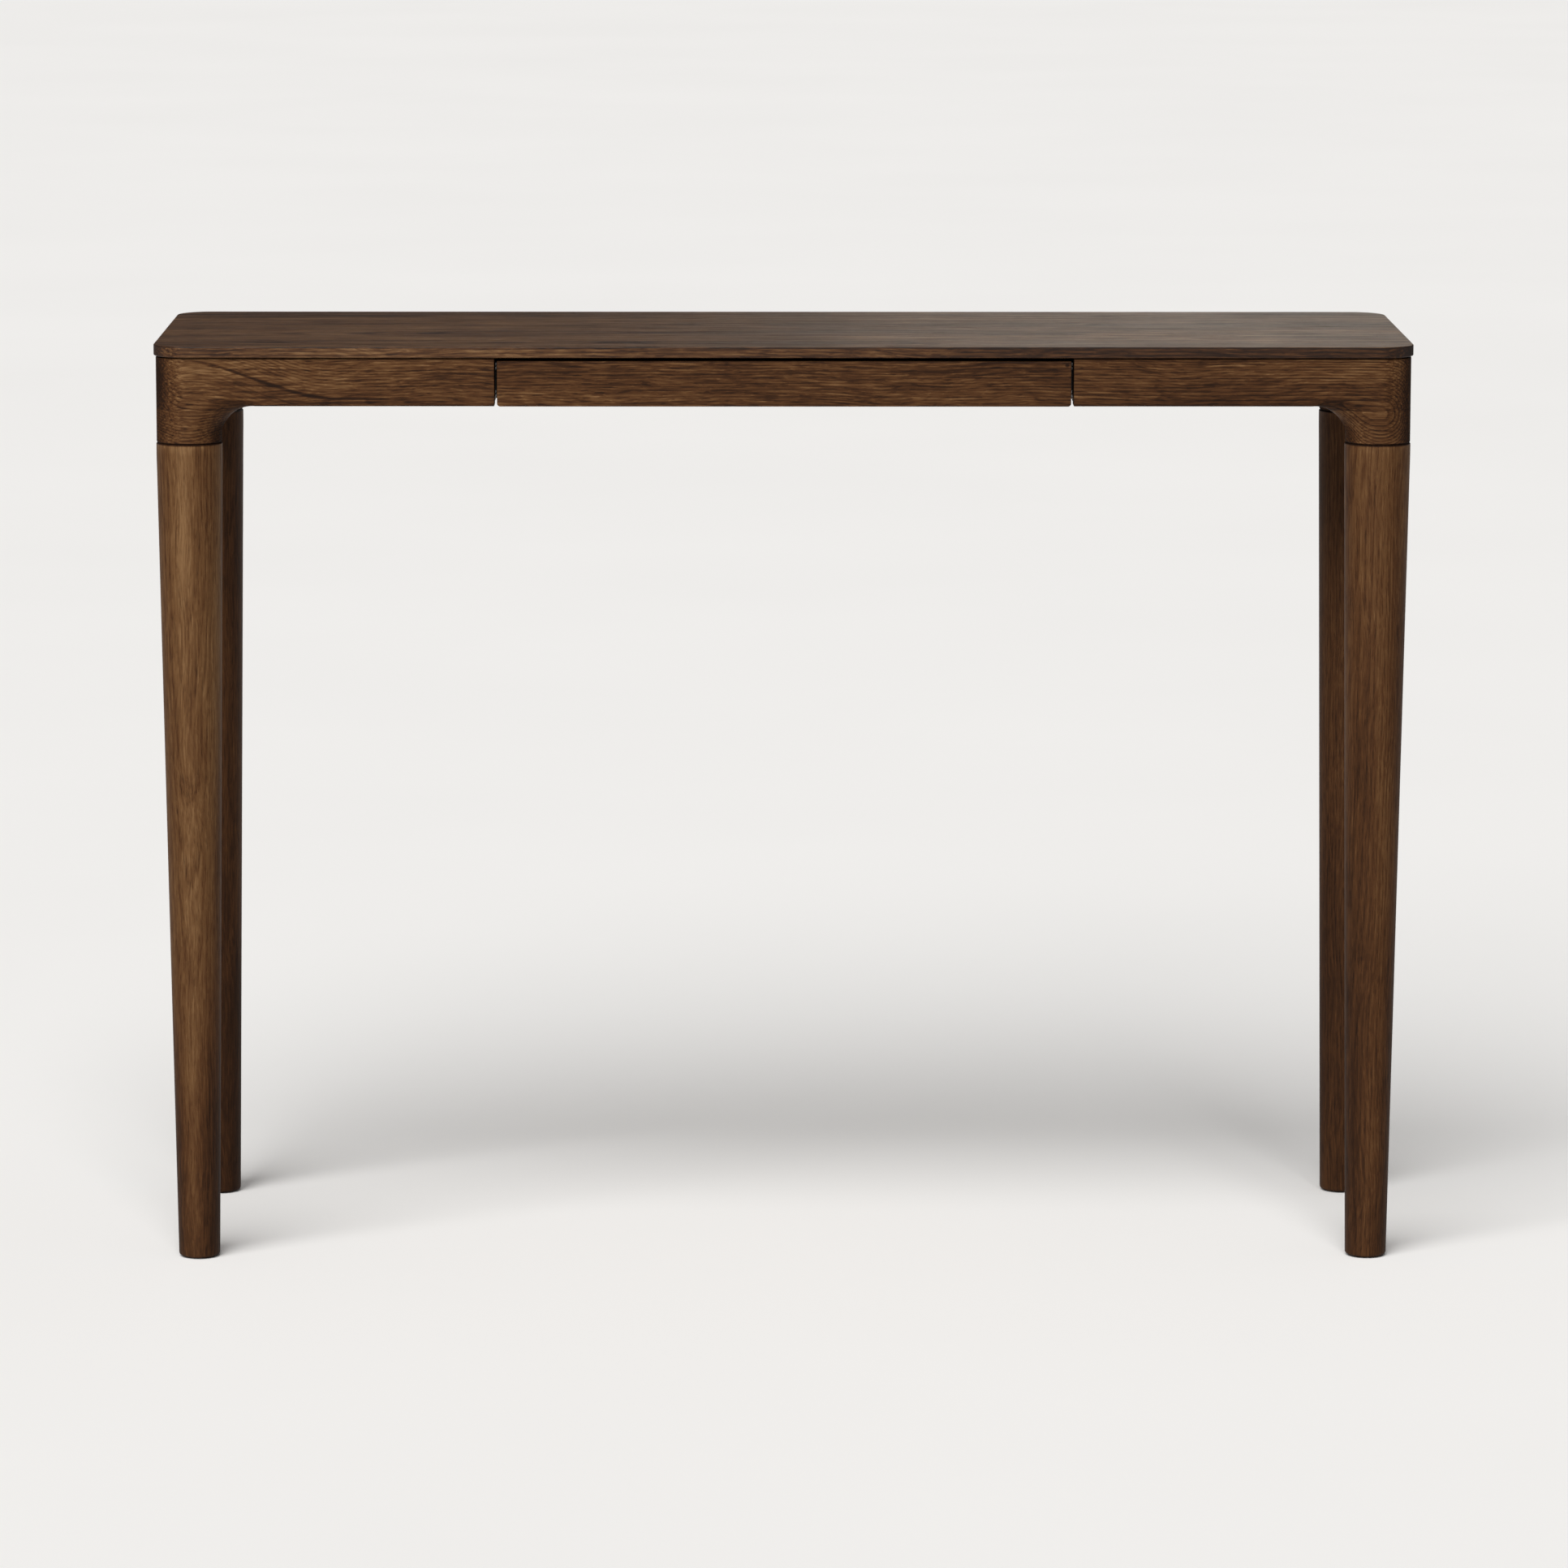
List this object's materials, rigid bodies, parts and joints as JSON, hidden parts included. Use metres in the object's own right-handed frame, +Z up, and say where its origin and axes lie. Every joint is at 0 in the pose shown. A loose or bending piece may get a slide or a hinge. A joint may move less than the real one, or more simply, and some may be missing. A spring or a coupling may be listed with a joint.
{
  "type": "console table",
  "caption": "Slim wooden console table with a thin round-cornered top, turned tapering legs on carved corner blocks, and a shallow flush drawer on telescopic slides.",
  "frame": {"origin": "on the floor, under the middle of the top", "axes": "+X to the right along the length, +Y from the front to the back, +Z up"},
  "size_m": [1.2, 0.355, 0.889],
  "materials": {
    "top_wood": "dark stained, satin lacquer with a soft sheen",
    "rail_wood": "dark stained, satin lacquer, grain along each rail",
    "leg_wood": "dark stained, satin lacquer, grain along the leg",
    "inner_wood": "lightly oiled",
    "slide_steel": "black electro-coated, satin, rubbed bare in the ball tracks",
    "zinc_steel": "zinc plated",
    "insert_brass": "plain machined",
    "cage_plastic": "matt black",
    "glide_nylon": "matt dark brown"
  },
  "bodies": {
    "table": {"tabletop": "top_wood", "front_rail_left": "rail_wood", "front_rail_right": "rail_wood", "side_rail_left": "rail_wood", "side_rail_right": "rail_wood", "back_rail": "rail_wood", "corner_block_front_left": "rail_wood", "leg_front_left": "leg_wood", "leg_bolt_front_left": "zinc_steel", "leg_insert_front_left": "insert_brass", "foot_glide_front_left": "glide_nylon", "corner_block_front_right": "rail_wood", "leg_front_right": "leg_wood", "leg_bolt_front_right": "zinc_steel", "leg_insert_front_right": "insert_brass", "foot_glide_front_right": "glide_nylon", "corner_block_back_left": "rail_wood", "leg_back_left": "leg_wood", "leg_bolt_back_left": "zinc_steel", "leg_insert_back_left": "insert_brass", "foot_glide_back_left": "glide_nylon", "corner_block_back_right": "rail_wood", "leg_back_right": "leg_wood", "leg_bolt_back_right": "zinc_steel", "leg_insert_back_right": "insert_brass", "foot_glide_back_right": "glide_nylon", "drawer_bearer_left": "inner_wood", "slide_outer_left": "slide_steel", "bearer_screw_left_front": "zinc_steel", "bearer_screw_left_back": "zinc_steel", "top_screw_left_end": "zinc_steel", "top_screw_left_front": "zinc_steel", "top_screw_left_back": "zinc_steel", "drawer_bearer_right": "inner_wood", "slide_outer_right": "slide_steel", "bearer_screw_right_front": "zinc_steel", "bearer_screw_right_back": "zinc_steel", "top_screw_right_end": "zinc_steel", "top_screw_right_front": "zinc_steel", "top_screw_right_back": "zinc_steel"},
    "drawer": {"drawer_front": "rail_wood", "drawer_box_front": "inner_wood", "drawer_box_back": "inner_wood", "drawer_bottom": "inner_wood", "drawer_side_left": "inner_wood", "drawer_side_right": "inner_wood", "drawer_front_screw_left": "zinc_steel", "drawer_front_screw_right": "zinc_steel", "slide_inner_left": "slide_steel", "slide_inner_right": "slide_steel", "box_screw_left_front": "zinc_steel", "box_screw_left_back": "zinc_steel", "box_screw_right_front": "zinc_steel", "box_screw_right_back": "zinc_steel"},
    "slide_extension_left": {"slide_middle_left": "slide_steel"},
    "outer_cage_left": {"ball_cage_outer_left": "cage_plastic"},
    "inner_cage_left": {"ball_cage_inner_left": "cage_plastic"},
    "slide_extension_right": {"slide_middle_right": "slide_steel"},
    "outer_cage_right": {"ball_cage_outer_right": "cage_plastic"},
    "inner_cage_right": {"ball_cage_inner_right": "cage_plastic"}
  },
  "joints": [
    {"name": "drawer_slide", "type": "slide", "parent": "table", "child": "drawer", "axis": [0, -1, 0], "range_m": [0, 0.25]},
    {"name": "extension_slide_left", "type": "slide", "parent": "table", "child": "slide_extension_left", "axis": [0, -1, 0], "range_m": [0, 0.125]},
    {"name": "outer_cage_slide_left", "type": "slide", "parent": "table", "child": "outer_cage_left", "axis": [0, -1, 0], "range_m": [0, 0.0625]},
    {"name": "inner_cage_slide_left", "type": "slide", "parent": "table", "child": "inner_cage_left", "axis": [0, -1, 0], "range_m": [0, 0.1875]},
    {"name": "extension_slide_right", "type": "slide", "parent": "table", "child": "slide_extension_right", "axis": [0, -1, 0], "range_m": [0, 0.125]},
    {"name": "outer_cage_slide_right", "type": "slide", "parent": "table", "child": "outer_cage_right", "axis": [0, -1, 0], "range_m": [0, 0.0625]},
    {"name": "inner_cage_slide_right", "type": "slide", "parent": "table", "child": "inner_cage_right", "axis": [0, -1, 0], "range_m": [0, 0.1875]}
  ],
  "couplings": [
    {"joint": "extension_slide_left", "follows": "drawer_slide", "ratio": 0.5},
    {"joint": "outer_cage_slide_left", "follows": "drawer_slide", "ratio": 0.25},
    {"joint": "inner_cage_slide_left", "follows": "drawer_slide", "ratio": 0.75},
    {"joint": "extension_slide_right", "follows": "drawer_slide", "ratio": 0.5},
    {"joint": "outer_cage_slide_right", "follows": "drawer_slide", "ratio": 0.25},
    {"joint": "inner_cage_slide_right", "follows": "drawer_slide", "ratio": 0.75}
  ]
}
